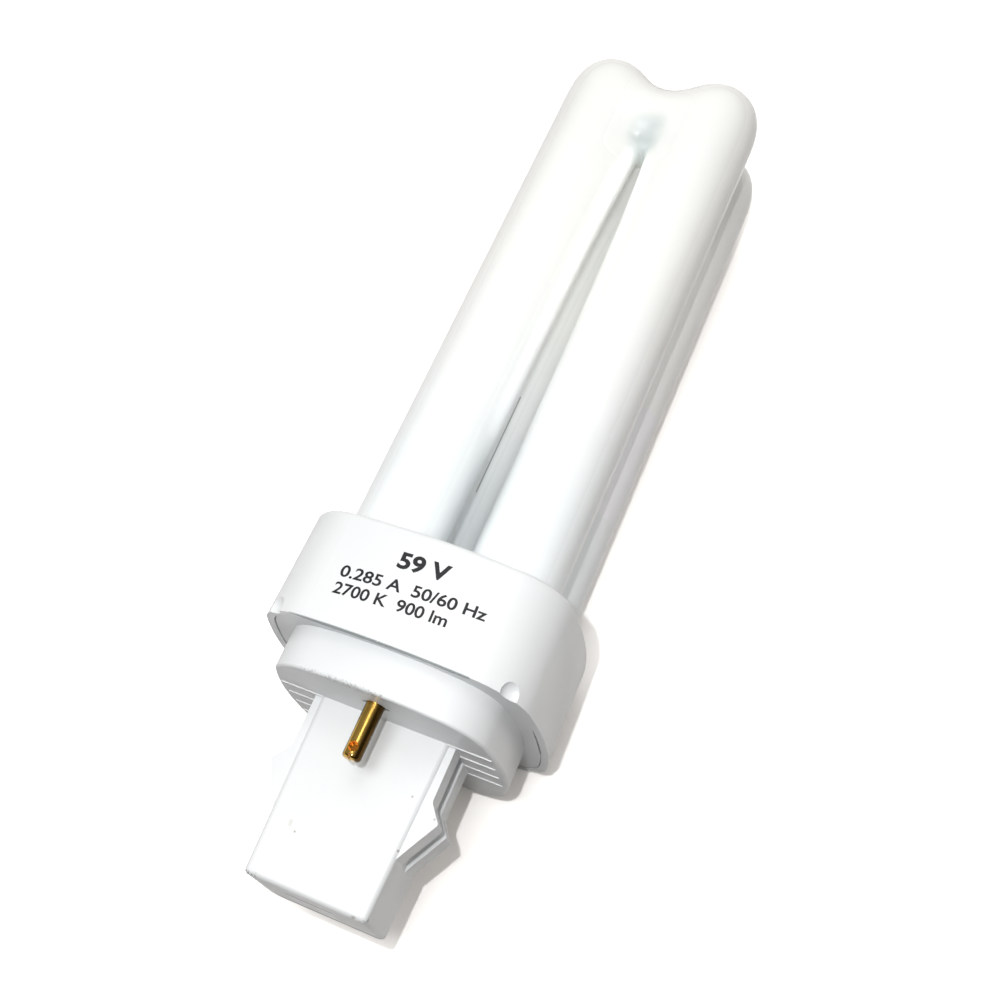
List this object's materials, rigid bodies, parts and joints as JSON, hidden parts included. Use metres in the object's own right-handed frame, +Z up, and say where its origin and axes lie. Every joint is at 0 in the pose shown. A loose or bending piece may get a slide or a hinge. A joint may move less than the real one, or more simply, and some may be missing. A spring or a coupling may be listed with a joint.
{
  "type": "compact fluorescent lamp",
  "caption": "Short plug-in compact fluorescent lamp: coated twin glass tubes side by side in a white collar, over a cap with brass contact pins and a hollow square key with spring catches.",
  "frame": {"origin": "on the surface the lamp lies on, under the middle of its box", "axes": "+Y along the legs towards the tube tips, +Z up towards the side that faces the viewer, +X across the catches"},
  "size_m": [0.0366, 0.1248, 0.0374],
  "materials": {
    "coated_glass": "clear glass wall, coated white inside, so it can't be seen into",
    "collar_plastic": "white moulded plastic, slightly glossy",
    "cap_plastic": "white moulded plastic, slightly glossy, worn at the edges",
    "pin_brass": "plain brass, a little tarnished",
    "cement": "dull pale cement",
    "starter_glass": "clear thin glass",
    "capacitor_resin": "brown dipped resin",
    "lead_wire": "plated wire",
    "ferrule_metal": "plated, crimped"
  },
  "bodies": {
    "root": {"discharge_tube": "coated_glass", "collar": "collar_plastic", "base_cap": "cap_plastic", "contact_pin_front": "pin_brass", "contact_pin_back": "pin_brass", "starter_bulb": "starter_glass", "starter_capacitor": "capacitor_resin", "cement_bead_1": "cement", "cement_bead_2": "cement", "cement_bead_3": "cement", "cement_bead_4": "cement", "starter_lead_1": "lead_wire", "starter_lead_2": "lead_wire", "capacitor_lead_1": "lead_wire", "capacitor_lead_2": "lead_wire", "electrode_lead_1": "lead_wire", "electrode_lead_2": "lead_wire", "electrode_lead_3": "lead_wire", "electrode_lead_4": "lead_wire", "splice_ferrule_1": "ferrule_metal", "splice_ferrule_2": "ferrule_metal"}
  },
  "joints": []
}
